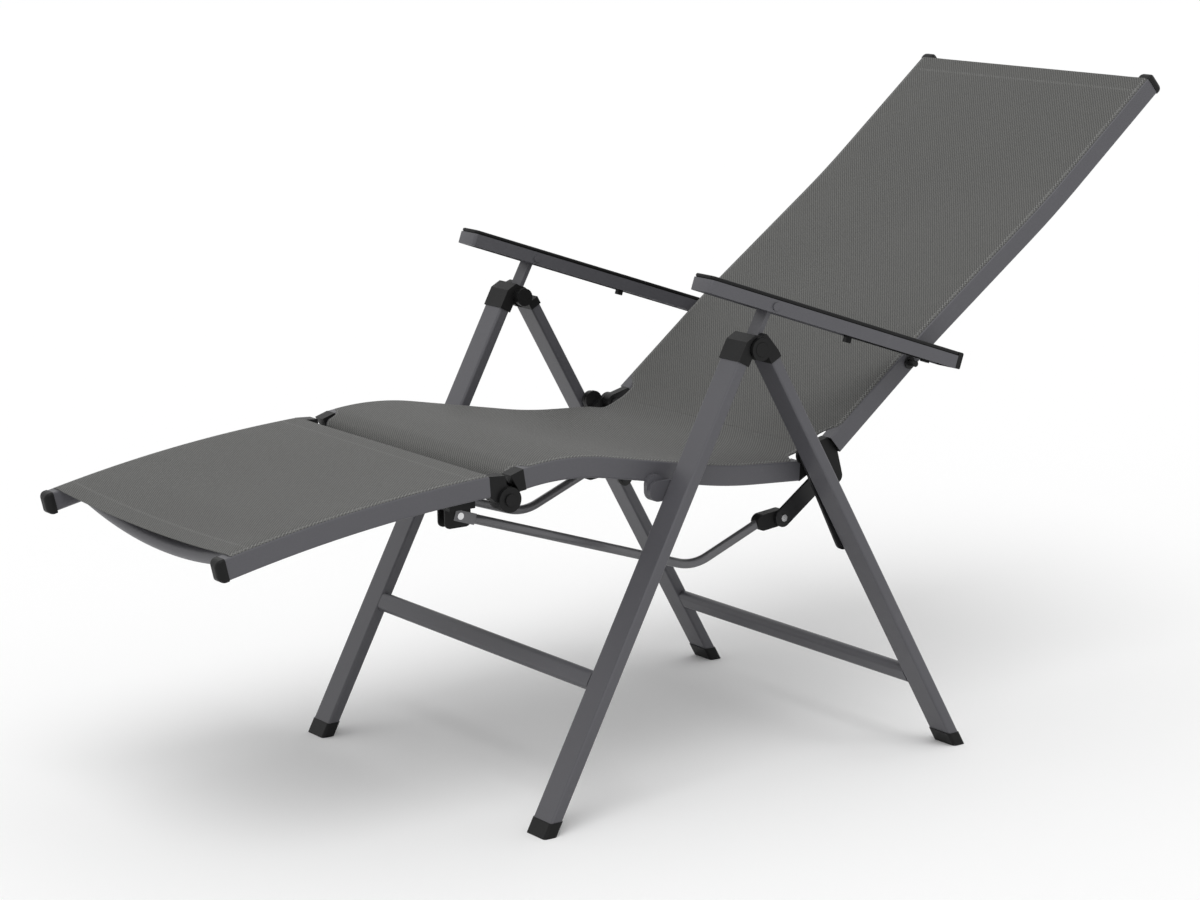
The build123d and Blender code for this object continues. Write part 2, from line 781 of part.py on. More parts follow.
def cross_tube(place, radius):
    """Straight hollow tube between the inner faces of a pair of rails."""
    ring = disc(place, radius) - disc(place, radius - tube_wall)
    return slab(ring, -rail_inner_x, rail_inner_x)


def back_tube():
    """Cross tube behind the fabric near the top of the back."""
    length = hypot(back_top_end[0] - back_high_bend[0], back_top_end[1] - back_high_bend[1])
    way = [(back_top_end[i] - back_high_bend[i]) / length for i in (0, 1)]
    place = [back_top_end[i] - way[i] * back_tube_from_top for i in (0, 1)]
    place = (place[0] + way[1] * back_tube_drop, place[1] - way[0] * back_tube_drop)
    return cross_tube(place, back_tube_radius)


def build():
    """Every node of the chair, by name."""
    parts = {}
    for rear, name in ((False, "front"), (True, "rear")):
        tube = leg(rear)
        parts[f"{name}_leg_left"] = tube
        parts[f"{name}_leg_right"] = mirror(tube, about=Plane.YZ)
        parts[f"{name}_foot_caps"] = foot_caps(rear)
    parts["front_crossbar"] = crossbar(False, front_bar_z, front_bar_height)
    parts["rear_crossbar"] = crossbar(True, rear_bar_z, rear_bar_height)
    parts["front_heads"] = front_heads()
    parts["rear_heads"] = rear_heads()
    parts["top_pivots"] = top_pivots()
    parts["arm_posts"] = arm_posts()
    parts["arm_pins"] = arm_pins()
    parts["leg_brackets"] = leg_brackets()
    parts["seat_pivots"] = seat_pivots()
    parts["link_pivots"] = link_pivots()
    parts["seat_lugs"] = seat_lugs()
    parts["seat_front_fittings"] = seat_front_fittings()
    parts["seat_rear_fittings"] = seat_rear_fittings()
    parts["seat_front_tube"] = cross_tube(seat_tube, seat_tube_radius)
    parts["back_pins"] = back_pins()
    parts["back_hinges"] = back_hinges()
    parts["back_end_caps"] = both(rail_cap(back_path, True))
    parts["back_tube"] = back_tube()
    parts["back_levers"] = levers()
    parts["lever_rivets"] = lever_rivets()
    parts["latch_pins"] = latch_pins()
    parts["footrest_pins"] = footrest_pins()
    parts["footrest_hinges"] = footrest_hinges()
    parts["footrest_end_caps"] = both(rail_cap(footrest_path, False))
    parts["footrest_brace"] = footrest_brace()
    parts["footrest_clips"] = footrest_clips()
    parts["rod_pins"] = rod_pins()
    sides = {
        "seat_rail": rail(seat_path),
        "back_rail": rail(back_path),
        "footrest_rail": rail(footrest_path),
        "link": link(),
        "link_rivet": link_rivet(),
        "rod": rod(),
        "rod_eye": rod_eye(),
        "armrest": arm(),
        "arm_pad": arm_pad(),
        "arm_end_cap": arm_cap(),
        "arm_rack": arm_rack(),
    }
    for name, left in sides.items():
        parts[f"{name}_left"] = left
        parts[f"{name}_right"] = mirror(left, about=Plane.YZ)
    reach = rail_centre_x
    parts["seat_fabric"] = fabric(seat_path, reach, fabric_seat_start, fabric_seat_stop)
    back_start = back_low_end[0] + fabric_back_start - rail_height / 2
    parts["back_fabric"] = fabric(back_path, reach, back_start, back_top_end[0] - fabric_back_stop)
    parts["footrest_fabric"] = fabric(footrest_path, reach, fabric_footrest_stop, fabric_footrest_start)
    return parts


def main():
    """Centre the chair's box over the origin, write each node and print the pivots."""
    parts = build()
    boxes = [shape.bounding_box() for shape in parts.values()]
    shift = -(min(box.min.Y for box in boxes) + max(box.max.Y for box in boxes)) / 2
    os.makedirs("parts", exist_ok=True)
    for name, shape in parts.items():
        export_step(Pos(0, shift, 0) * shape, f"parts/{name}.step")
    print("nodes", len(parts), "shift", round(shift, 3))
    print("top", round(max(box.max.Z for box in boxes), 2))
    pivots = {
        "leg_pivot": leg_pivot,
        "seat_pivot": seat_pivot,
        "back_pivot": back_pivot,
        "footrest_pivot": footrest_pivot,
        "arm_pivot": arm_pivot,
        "link_top": link_top,
        "link_foot": link_foot,
        "lever_foot": lever_foot,
        "rod_pivot": rod_pivot,
        "latch": latch,
    }
    for name, place in pivots.items():
        print(name, round(place[0] + shift, 3), round(place[1], 3))


if __name__ == "__main__":
    main()
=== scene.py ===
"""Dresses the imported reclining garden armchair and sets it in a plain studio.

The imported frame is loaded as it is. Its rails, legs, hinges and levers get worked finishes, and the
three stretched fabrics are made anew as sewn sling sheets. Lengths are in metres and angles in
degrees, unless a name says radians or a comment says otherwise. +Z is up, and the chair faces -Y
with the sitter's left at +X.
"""
import json
import logging
import math
from dataclasses import dataclass, field
from enum import Enum
from typing import Any, Callable, Dict, List, Sequence, Tuple, Union

import bmesh
import bpy
from mathutils import Matrix, Vector


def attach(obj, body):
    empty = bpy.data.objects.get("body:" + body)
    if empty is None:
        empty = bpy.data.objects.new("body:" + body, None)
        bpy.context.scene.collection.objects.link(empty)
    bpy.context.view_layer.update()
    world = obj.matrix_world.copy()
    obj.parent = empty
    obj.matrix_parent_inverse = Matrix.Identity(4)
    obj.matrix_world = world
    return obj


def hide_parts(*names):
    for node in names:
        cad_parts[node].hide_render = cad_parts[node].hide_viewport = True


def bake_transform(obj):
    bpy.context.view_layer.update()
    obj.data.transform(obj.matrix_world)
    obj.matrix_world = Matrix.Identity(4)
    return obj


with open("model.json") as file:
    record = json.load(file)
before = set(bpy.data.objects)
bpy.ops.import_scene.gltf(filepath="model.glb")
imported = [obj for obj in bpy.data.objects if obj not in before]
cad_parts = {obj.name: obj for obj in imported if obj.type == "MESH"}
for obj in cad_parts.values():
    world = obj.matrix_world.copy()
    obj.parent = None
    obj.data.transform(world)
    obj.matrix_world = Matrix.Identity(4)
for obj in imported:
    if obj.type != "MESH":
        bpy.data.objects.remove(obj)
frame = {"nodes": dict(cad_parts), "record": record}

LOG = logging.getLogger("garden_armchair")
Colour = Tuple[float, float, float]
Place = Tuple[float, float]
Span = Tuple[float, float]
Feed = Union["Tone", float, Sequence[float]]

SIDES = (("left", 1), ("right", -1))
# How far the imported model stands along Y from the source's own frame.
SHIFT = 0.006229


class Slot(Enum):
    """The record's material slots."""

    FRAME_PAINT = "frame_paint"
    BLACK_PLASTIC = "black_plastic"
    ARM_PAD = "arm_pad"
    BLACK_STEEL = "black_steel"
    ROD_STEEL = "rod_steel"
    BRIGHT_STEEL = "bright_steel"
    SLING_FABRIC = "sling_fabric"


class Tone:
    """One output socket that takes part in Python expressions."""

    def __init__(self, graph: "Graph", socket: bpy.types.NodeSocket) -> None:
        """Keep the socket.

        Args:
            graph: The graph that the socket belongs to.
            socket: The output socket.
        """
        self.graph = graph
        self.socket = socket

    def maths(self, operation: str, first: Feed, second: Feed = 0.0) -> "Tone":
        """Add one Math node.

        Args:
            operation: The node's operation.
            first: The first value.
            second: The second value.

        Returns:
            The node's result.
        """
        return self.graph.add("ShaderNodeMath", {"operation": operation}, {0: first, 1: second})

    def __add__(self, other: Feed) -> "Tone":
        """Sum."""
        return self.maths("ADD", self, other)

    def __radd__(self, other: Feed) -> "Tone":
        """Sum, from the right."""
        return self.maths("ADD", other, self)

    def __sub__(self, other: Feed) -> "Tone":
        """Difference."""
        return self.maths("SUBTRACT", self, other)

    def __rsub__(self, other: Feed) -> "Tone":
        """Difference, from the right."""
        return self.maths("SUBTRACT", other, self)

    def __mul__(self, other: Feed) -> "Tone":
        """Product."""
        return self.maths("MULTIPLY", self, other)

    def __rmul__(self, other: Feed) -> "Tone":
        """Product, from the right."""
        return self.maths("MULTIPLY", other, self)

    def __lt__(self, other: Feed) -> "Tone":
        """One where this is the smaller, else zero."""
        return self.maths("LESS_THAN", self, other)

    def __abs__(self) -> "Tone":
        """Size without sign."""
        return self.maths("ABSOLUTE", self)

    def __or__(self, other: Feed) -> "Tone":
        """The larger of the two, which joins masks."""
        return self.maths("MAXIMUM", self, other)

    def sine(self) -> "Tone":
        """Sine of the value."""
        return self.maths("SINE", self)


class Graph:
    """A node tree, with one method that makes every node."""

    def __init__(self, tree: bpy.types.NodeTree) -> None:
        """Empty the tree.

        Args:
            tree: The node tree.
        """
        self.tree = tree
        self.tree.nodes.clear()

    def feed(self, socket: bpy.types.NodeSocket, value: Feed) -> None:
        """Link a tone to a socket, or set the socket's own value.

        Args:
            socket: The input socket.
            value: A tone, a number, a colour or a vector.
        """
        if isinstance(value, Tone):
            self.tree.links.new(value.socket, socket)
        elif socket.type == "RGBA" and len(value) == 3:
            socket.default_value = (*value, 1.0)
        else:
            socket.default_value = value

    def node(self, kind: str, settings: Dict[str, Any], sockets: Dict[Any, Feed]) -> bpy.types.Node:
        """Make a node.

        Args:
            kind: The node's type.
            settings: Its properties, set first.
            sockets: Values or tones of its inputs, by name or number.

        Returns:
            The node.
        """
        node = self.tree.nodes.new(kind)
        for key, value in settings.items():
            setattr(node, key, value)
        for key, value in sockets.items():
            self.feed(node.inputs[key], value)
        return node

    def add(self, kind: str, settings: Dict[str, Any], sockets: Dict[Any, Feed],
            out: Any = 0) -> Tone:
        """Make a node and give one of its outputs.

        Args:
            kind: The node's type.
            settings: Its properties.
            sockets: Values or tones of its inputs, by name or number.
            out: The output wanted, by name or number.

        Returns:
            That output.
        """
        return Tone(self, self.node(kind, settings, sockets).outputs[out])

    def mix(self, share: Feed, first: Feed, second: Feed) -> Tone:
        """Blend two colours.

        Args:
            share: How much of the second.
            first: The first colour.
            second: The second colour.

        Returns:
            The blended colour.
        """
        return self.add("ShaderNodeMix", {"data_type": "RGBA"}, {0: share, 6: first, 7: second}, 2)

    def clamp(self, tone: Tone) -> Tone:
        """Hold a tone between 0 and 1."""
        return self.add("ShaderNodeClamp", {}, {"Value": tone})

    def stretch(self, where: Feed, scale: Sequence[float]) -> Tone:
        """Scale coordinates by a factor for each axis."""
        return self.add("ShaderNodeMapping", {}, {"Vector": where, "Scale": scale})

    def noise(self, where: Feed, scale: float, detail: float, rough: float = 0.55) -> Tone:
        """Noise value at a place.

        Args:
            where: The coordinates.
            scale: Grains in a metre.
            detail: Octaves.
            rough: How much the finer octaves count.

        Returns:
            A tone from 0 to 1.
        """
        values = {"Vector": where, "Scale": scale, "Detail": detail, "Roughness": rough}
        return self.add("ShaderNodeTexNoise", {}, values)


class Coating(Graph):
    """A material's node tree round one shader."""

    def __init__(self, name: str) -> None:
        """Start a material.

        Args:
            name: The material's name.
        """
        self.material = bpy.data.materials.new(name)
        self.material.use_nodes = True
        super().__init__(self.material.node_tree)
        self.surface = self.node("ShaderNodeBsdfPrincipled", {}, {})
        shaded = Tone(self, self.surface.outputs[0])
        self.node("ShaderNodeOutputMaterial", {}, {"Surface": shaded})

    def set(self, values: Dict[str, Feed]) -> None:
        """Feed the shader's sockets.

        Args:
            values: Values or tones by the socket's name.
        """
        for key, value in values.items():
            self.feed(self.surface.inputs[key], value)

    def raise_by(self, height: Tone, distance: float) -> None:
        """Give the shader a relief.

        Args:
            height: The relief, from 0 to 1.
            distance: Its height in metres.
        """
        sockets = {"Strength": 1.0, "Distance": distance, "Height": height}
        self.set({"Normal": self.add("ShaderNodeBump", {}, sockets)})


@dataclass(frozen=True)
class HardFinish:
    """A coat or bare metal: cloudy tone, fine grain, light scuffs and a grain in the gloss."""

    slot: Slot
    colour: Colour
    cloud: Colour
    scuff: Colour
    rough_low: float
    rough_high: float
    grain: float
    relief: float
    specular: float
    scuffing: float
    metallic: float = 0.0
    drawn: float = 1.0
    cloud_grains: float = 14.0
    scratch_grains: float = 55.0
    fine_ratio: float = 2.7
    speckle: float = 0.35
    worn_from: float = 0.62
    worn_full: float = 0.74
    worn_rough: float = 0.1
    coarse_height: float = 0.6
    fine_height: float = 0.4

    def make(self) -> bpy.types.Material:
        """Build the material.

        Returns:
            The material.
        """
        coat = Coating(f"{self.slot.value}_worked")
        place = coat.add("ShaderNodeTexCoord", {}, {}, "Object")
        drawn = coat.stretch(place, (1.0, self.drawn, 1.0))
        grain = coat.noise(drawn, self.grain, 2.0)
        fine = coat.noise(drawn, self.grain * self.fine_ratio, 1.0)
        worn = self.scuffs(coat, place)
        base = coat.mix(coat.noise(place, self.cloud_grains, 3.0), self.colour, self.cloud)
        speckled = coat.mix(grain * self.speckle, base, self.scuff)
        gloss = self.rough_low + (self.rough_high - self.rough_low) * grain
        coat.set({
            "Base Color": coat.mix(worn, speckled, self.scuff),
            "Roughness": gloss + self.worn_rough * worn,
            "Metallic": self.metallic,
            "Specular IOR Level": self.specular,
        })
        coat.raise_by(grain * self.coarse_height + fine * self.fine_height, self.relief)
        return coat.material

    def scuffs(self, coat: Coating, place: Tone) -> Tone:
        """Thin clouds of handling marks.

        Args:
            coat: The material's graph.
            place: Object coordinates.

        Returns:
            How strong the mark is.
        """
        scratch = coat.noise(place, self.scratch_grains, 6.0)
        sockets = {"Value": scratch, "From Min": self.worn_from, "From Max": self.worn_full,
                   "To Min": 0.0, "To Max": self.scuffing}
        return coat.add("ShaderNodeMapRange", {"interpolation_type": "SMOOTHSTEP"}, sockets)


@dataclass(frozen=True)
class SlingFinish:
    """Coated mesh cloth: crossed round threads of mixed tone, with stitch lines along its edges; the
    light lines along its sides are partly stitching and partly a painted highlight of the rails' lit
    edges.
    """

    slot: Slot = Slot.SLING_FABRIC
    dark: Colour = (0.058, 0.058, 0.056)
    light: Colour = (0.149, 0.149, 0.143)
    # Light stitch colour, which is also the colour of the painted highlight along the sides.
    thread_and_highlight: Colour = (0.27, 0.27, 0.265)
    pitch: float = 0.0046
    relief: float = 0.0004
    yarn_across: float = 900.0
    yarn_along: float = 140.0
    cloud_grains: float = 9.0
    level: float = 0.46
    melange_gain: float = 1.1
    weave_gain: float = 1.5
    cloud_gain: float = 0.1
    stitch_pitch: float = 0.0052
    stitch_sway: float = 0.0014
    stitch_half: float = 0.00055
    side_inset: float = 0.004
    # The side lines are partly stitching and partly a painted highlight of the rails' lit edges.
    side_stitch_and_highlight_show: float = 0.8
    end_inset: float = 0.024
    end_show: float = 0.35
    weave_height: float = 0.7
    stitch_height: float = 0.5
    dull: float = 0.78
    yarn_gloss: float = 0.12
    specular: float = 0.12
    sheen: float = 0.08
    sheen_spread: float = 0.5

    def make(self) -> bpy.types.Material:
        """Build the material.

        Returns:
            The material.
        """
        coat = Coating("sling_mesh_cloth")
        chart = coat.add("ShaderNodeUVMap", {"uv_map": "cloth"}, {})
        across = coat.add("ShaderNodeSeparateXYZ", {}, {0: chart}, 0)
        along = coat.add("ShaderNodeSeparateXYZ", {}, {0: chart}, 1)
        turn = 2 * math.pi / self.pitch
        weave = (across * turn).sine() * (along * turn).sine() * 0.5 + 0.5
        yarn = coat.clamp(self.mottle(coat, chart, weave))
        # sewn lays the stitch colour on the hem stitches and on the side lines, which are partly a
        # painted highlight.
        sewn = self.stitching_and_edge_highlight(coat, across, along)
        coat.set({
            "Base Color": coat.mix(sewn, coat.mix(yarn, self.dark, self.light), self.thread_and_highlight),
            "Roughness": self.dull - self.yarn_gloss * yarn,
            "Specular IOR Level": self.specular,
            "Sheen Weight": self.sheen,
            "Sheen Roughness": self.sheen_spread,
        })
        coat.raise_by(weave * self.weave_height + sewn * self.stitch_height, self.relief)
        return coat.material

    def mottle(self, coat: Coating, chart: Tone, weave: Tone) -> Tone:
        """Mixed tone of the yarns that lie on top.

        Args:
            coat: The material's graph.
            chart: The cloth's own coordinates.
            weave: One where the warp is on top and zero where the weft is.

        Returns:
            A tone about 0 to 1.
        """
        rows = coat.stretch(chart, (self.yarn_across, self.yarn_along, 1.0))
        picks = coat.stretch(chart, (self.yarn_along, self.yarn_across, 1.0))
        melange = coat.noise(rows, 1.0, 1.0) * weave + coat.noise(picks, 1.0, 1.0) * (1.0 - weave)
        cloud = coat.noise(chart, self.cloud_grains, 3.0)
        tone = (melange - 0.5) * self.melange_gain + self.level
        return tone + (weave - 0.5) * self.weave_gain + (cloud - 0.5) * self.cloud_gain

    def stitching_and_edge_highlight(self, coat: Coating, across: Tone, along: Tone) -> Tone:
        """Stitch lines along the hems, and light lines along the sides that are partly stitching and
        partly a painted highlight of the rails' lit edges.

        Args:
            coat: The material's graph.
            across: Distance across the cloth.
            along: Distance along the cloth.

        Returns:
            How much of the stitching and the painted highlight shows.
        """
        edge = coat.add("ShaderNodeAttribute", {"attribute_name": "edge_gap"}, {}, "Fac")
        hem = coat.add("ShaderNodeAttribute", {"attribute_name": "hem_gap"}, {}, "Fac")
        # Along the sides the line is partly stitching and partly a painted highlight.
        side = self.stitch_and_highlight_line(edge, along, self.side_inset)
        end = self.stitch_and_highlight_line(hem, across, self.end_inset) * self.end_show
        return coat.clamp(side * self.side_stitch_and_highlight_show + end)

    def stitch_and_highlight_line(self, gap: Tone, run: Tone, inset: float) -> Tone:
        """Zig-zag line that follows an edge: stitching, and along the sides also a painted highlight.

        Args:
            gap: Distance from the edge.
            run: Distance along the edge.
            inset: How far the line lies from the edge.

        Returns:
            One on the line and zero elsewhere.
        """
        sway = (run * (2 * math.pi / self.stitch_pitch)).sine() * self.stitch_sway
        return abs(gap - inset + sway) < self.stitch_half


class Dresser:
    """Makes the finishes and puts them on the carried-over nodes."""

    def __init__(self) -> None:
        """Make every finish."""
        finishes: List[Union[HardFinish, SlingFinish]] = [
            HardFinish(
                Slot.FRAME_PAINT, colour=(0.055, 0.054, 0.062), cloud=(0.067, 0.066, 0.075),
                scuff=(0.15, 0.15, 0.16), rough_low=0.36, rough_high=0.5, grain=1400.0,
                relief=0.00006, specular=0.42, scuffing=0.12),
            HardFinish(
                Slot.BLACK_PLASTIC, colour=(0.0045, 0.0045, 0.0047), cloud=(0.0065, 0.0065, 0.0068),
                scuff=(0.018, 0.018, 0.018), rough_low=0.36, rough_high=0.52, grain=1100.0,
                relief=0.00009, specular=0.16, scuffing=0.12),
            HardFinish(
                Slot.ARM_PAD, colour=(0.0045, 0.0045, 0.0048), cloud=(0.007, 0.007, 0.0073),
                scuff=(0.014, 0.014, 0.0145), rough_low=0.42, rough_high=0.58, grain=620.0,
                relief=0.00016, specular=0.16, scuffing=0.1),
            HardFinish(
                Slot.BLACK_STEEL, colour=(0.0055, 0.0055, 0.006), cloud=(0.0085, 0.0085, 0.009),
                scuff=(0.04, 0.04, 0.042), rough_low=0.3, rough_high=0.45, grain=900.0,
                relief=0.00005, specular=0.25, scuffing=0.25),
            HardFinish(
                Slot.ROD_STEEL, colour=(0.082, 0.081, 0.086), cloud=(0.1, 0.099, 0.104),
                scuff=(0.2, 0.2, 0.21), rough_low=0.24, rough_high=0.36, grain=900.0,
                relief=0.00003, specular=0.6, scuffing=0.2, metallic=0.35, drawn=0.12),
            HardFinish(
                Slot.BRIGHT_STEEL, colour=(0.58, 0.58, 0.59), cloud=(0.66, 0.66, 0.67),
                scuff=(0.8, 0.8, 0.8), rough_low=0.18, rough_high=0.3, grain=900.0,
                relief=0.00002, specular=0.5, scuffing=0.3, metallic=1.0),
            SlingFinish(),
        ]
        self.materials: Dict[Slot, bpy.types.Material] = {
            finish.slot: finish.make() for finish in finishes}

    def dress(self) -> None:
        """Put each node's finish in its object's material slots."""
        for part in frame["record"]["subparts"]:
            for held in frame["nodes"][part["node"]].material_slots:
                held.material = self.materials[Slot(part["material_slot"])]


def put(name: str, data: bpy.types.ID) -> bpy.types.Object:
    """Make an object of a mesh, camera or lamp and link it to the scene.

    Args:
        name: The object's name.
        data: What it holds.

    Returns:
        The object.
    """
    made = bpy.data.objects.new(name, data)
    bpy.context.scene.collection.objects.link(made)
    return made


def ease(value: float, low: float, high: float) -> float:
    """Smooth step.

    Args:
        value: The value.
        low: Where the step starts.
        high: Where the step ends.

    Returns:
        A share from 0 to 1.
    """
    t = min(max((value - low) / (high - low), 0.0), 1.0)
    return t * t * (3 - 2 * t)


@dataclass(frozen=True)
class SideLine:
    """A rail's centre line seen from the side: straight runs with rounded corners."""

    points: Tuple[Place, ...]
    radii: Tuple[float, ...]
    step: float = 0.004
    least_bend_steps: int = 4

    def trace(self) -> List[Vector]:
        """Walk the line.

        Returns:
            Places (0, y, z) a few millimetres apart, corners rounded.
        """
        corners = [Vector((0, y, z)) for y, z in self.points]
        walked = [corners[0]]
        for before, corner, after, radius in zip(corners, corners[1:], corners[2:], self.radii):
            come, go = (corner - before).normalized(), (after - corner).normalized()
            reach = radius * math.tan(come.angle(go) / 2)
            start, stop = corner - come * reach, corner + go * reach
            walked += self.run(walked[-1], start)
            steps = max(self.least_bend_steps, int((stop - start).length / self.step))
            for i in range(1, steps + 1):
                t = i / steps
                walked.append(start * (1 - t) ** 2 + corner * (2 * t * (1 - t)) + stop * t ** 2)
        return walked + self.run(walked[-1], corners[-1])

    def run(self, start: Vector, stop: Vector) -> List[Vector]:
        """Divide a straight run.

        Args:
            start: Where it starts, which is left out.
            stop: Where it stops.

        Returns:
            Places along it.
        """
        steps = max(1, int((stop - start).length / self.step))
        return [start.lerp(stop, i / steps) for i in range(1, steps + 1)]

    def raised(self, lift: float) -> List[Vector]:
        """The line moved up off the rail.

        Args:
            lift: How far.

        Returns:
            Places along the raised line.
        """
        walked = self.trace()
        lifted = []
        for i, place in enumerate(walked):
            way = walked[min(i + 1, len(walked) - 1)] - walked[max(i - 1, 0)]
            lifted.append(place + Vector((0, -way.z, way.y)).normalized() * lift)
        return lifted


class Route:
    """A line through side-view places, measured by its own length."""

    def __init__(self, places: Sequence[Vector]) -> None:
        """Measure the line.

        Args:
            places: The places in order.
        """
        self.places = list(places)
        self.marks = [0.0]
        for a, b in zip(self.places, self.places[1:]):
            self.marks.append(self.marks[-1] + (b - a).length)

    @property
    def length(self) -> float:
        """The line's whole length."""
        return self.marks[-1]

    def at(self, mark: float) -> Tuple[Vector, Vector]:
        """A place on the line.

        Args:
            mark: Distance from the start.

        Returns:
            The place, and the way up off the cloth there.
        """
        mark = min(max(mark, 0.0), self.length)
        low, high = 0, len(self.marks) - 1
        while high - low > 1:
            middle = (low + high) // 2
            low, high = (middle, high) if self.marks[middle] <= mark else (low, middle)
        span = self.marks[high] - self.marks[low]
        share = (mark - self.marks[low]) / span if span else 0.0
        before = self.places[max(low - 1, 0)]
        after = self.places[min(high + 1, len(self.places) - 1)]
        way = after - before
        up = Vector((0, -way.z, way.y)).normalized()
        return self.places[low].lerp(self.places[high], share), up

    def mark_of(self, y: float) -> float:
        """Where the line first passes a place along Y.

        Args:
            y: The place along Y.

        Returns:
            The distance from the start.
        """
        for mark, place in zip(self.marks, self.places):
            if place.y >= y:
                return mark
        return self.length


@dataclass
class Rails:
    """Centre lines of the rails that the cloth is stretched on, and its height above them."""

    lift: float = 0.0137
    seat: SideLine = field(init=False)
    back: SideLine = field(init=False)
    footrest: SideLine = field(init=False)

    def __post_init__(self) -> None:
        """Set the rails' lines in the model's frame."""
        self.seat = self.line(
            [(-310.7, 432.4), (-250.0, 441.5), (-8.6, 394.2), (101.7, 387.0)], (0.34, 0.6))
        self.back = self.line(
            [(160.0, 413.0), (310.0, 532.3), (520.0, 683.8), (698.8, 832.0)], (1.5, 1.5))
        self.footrest = self.line([(-713.0, 381.5), (-537.5, 419.2), (-360.0, 429.0)], (2.0,))

    def line(self, millimetres: Sequence[Place], radii: Tuple[float, ...]) -> SideLine:
        """Turn the source's places into a line.

        Args:
            millimetres: Side-view places in the source's own frame.
            radii: Corner radii in metres.

        Returns:
            The line in the model's frame.
        """
        return SideLine(tuple((y / 1000 + SHIFT, z / 1000) for y, z in millimetres), radii)


@dataclass
class Sling:
    """A stretched sheet of coated mesh cloth between a pair of rails.

    It sags between its rails and its ends, drops a little at its edges, and puckers where it is
    pulled over the rails. lapped is how far it lies under the next sheet, and rolled how much of
    it goes round the front tube before it may sag.
    """

    name: str
    node: str
    route: Route
    start: float
    stop: float
    half: Callable[[float], float]
    sag: float
    hems: Tuple[bool, bool]
    held_by: Tuple[str, ...]
    hem_dip: float = 0.0
    lapped: float = 0.0
    rolled: float = 0.0
    across: int = 84
    pitch: float = 0.006
    least_steps: int = 8
    thickness: float = 0.0013
    rail_x: float = 0.2145
    hem_reach: float = 0.09
    lap_drop: float = 0.0006
    lap_reach: float = 1.5
    tuck_drop: float = 0.0011
    tuck_from: float = 0.985
    pucker_height: float = 0.00035
    pucker_turn: float = 150.0
    pucker_skew: float = 40.0
    pucker_span: Span = (0.17, 0.205)

    def dip(self, mark: float, free: float) -> float:
        """How far the cloth hangs below its rails.

        Args:
            mark: Along the route.
            free: One in the middle of the cloth and zero over the rails.

        Returns:
            The depth.
        """
        along = (mark - self.start - self.rolled) / (self.stop - self.start - self.rolled)
        depth = self.sag * free * math.sin(math.pi * min(max(along, 0.0), 1.0)) ** 2
        depth += self.hem_dip * free * (1 - ease(mark - self.start, 0.0, self.hem_reach))
        if self.lapped:
            lap = ease(mark, self.stop - self.lapped * self.lap_reach, self.stop)
            depth += self.lap_drop * lap
        return depth

    def place(self, share: float, mark: float) -> Vector:
        """Where a point of the cloth is.

        Args:
            share: Across the cloth, from -1 to 1.
            mark: Along the route.

        Returns:
            The point.
        """
        middle, up = self.route.at(mark)
        x = share * self.half(middle.y)
        free = max(0.0, 1.0 - (x / self.rail_x) ** 2)
        tuck = self.tuck_drop * ease(abs(share), self.tuck_from, 1.0)
        wave = self.pucker_height * math.sin(mark * self.pucker_turn + self.pucker_skew * x)
        pucker = wave * ease(abs(x), *self.pucker_span) * (free > 0)
        return Vector((x, middle.y, middle.z)) - up * (self.dip(mark, free) + tuck - pucker)

    def half_at(self, mark: float) -> float:
        """Half the cloth's width at a distance along the route."""
        return self.half(self.route.at(mark)[0].y)

    def weave(self) -> bmesh.types.BMesh:
        """Lay a grid on the route, with its chart and its distances from edges and hems.

        Returns:
            The cloth's middle surface.
        """
        steps = max(self.least_steps, int((self.stop - self.start) / self.pitch))
        shape = bmesh.new()
        chart = shape.loops.layers.uv.new("cloth")
        edge = shape.verts.layers.float.new("edge_gap")
        hem = shape.verts.layers.float.new("hem_gap")
        bmesh.ops.create_grid(shape, x_segments=self.across, y_segments=steps, size=0.5)
        flat: List[Place] = []
        for point in shape.verts:
            share = point.co.x * 2
            mark = self.start + (point.co.y + 0.5) * (self.stop - self.start)
            gaps = zip((mark - self.start, self.stop - mark), self.hems)
            ends = [gap for gap, sewn in gaps if sewn]
            half = self.half_at(mark)
            point[edge] = half * (1 - abs(share))
            point[hem] = min(ends) if ends else 1.0
            flat.append((share * half, mark))
            point.co = self.place(share, mark)
        shape.verts.index_update()
        for border in shape.edges:
            border.smooth = not border.is_boundary
        for face in shape.faces:
            face.smooth = True
            for corner in face.loops:
                corner[chart].uv = flat[corner.vert.index]
        return shape

    def make(self, material: bpy.types.Material) -> bpy.types.Object:
        """Build the sheet and say what it is.

        Args:
            material: The cloth.

        Returns:
            The sheet's object.
        """
        shape = self.weave()
        mesh = bpy.data.meshes.new(self.name)
        shape.to_mesh(mesh)
        area = sum(face.calc_area() for face in shape.faces)
        shape.free()
        mesh.materials.append(material)
        piece = put(self.name, mesh)
        body = piece.modifiers.new("cloth_thickness", "SOLIDIFY")
        body.thickness, body.offset = self.thickness, 0.0
        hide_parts(self.node)
        marks = (self.start, (self.start + self.stop) / 2, self.stop)
        width = 2 * max(self.half_at(mark) for mark in marks)
        length = self.stop - self.start
        min(area, width * length)
        LOG.info("%s: %.0f by %.0f mm", self.name, width * 1000, length * 1000)
        return piece


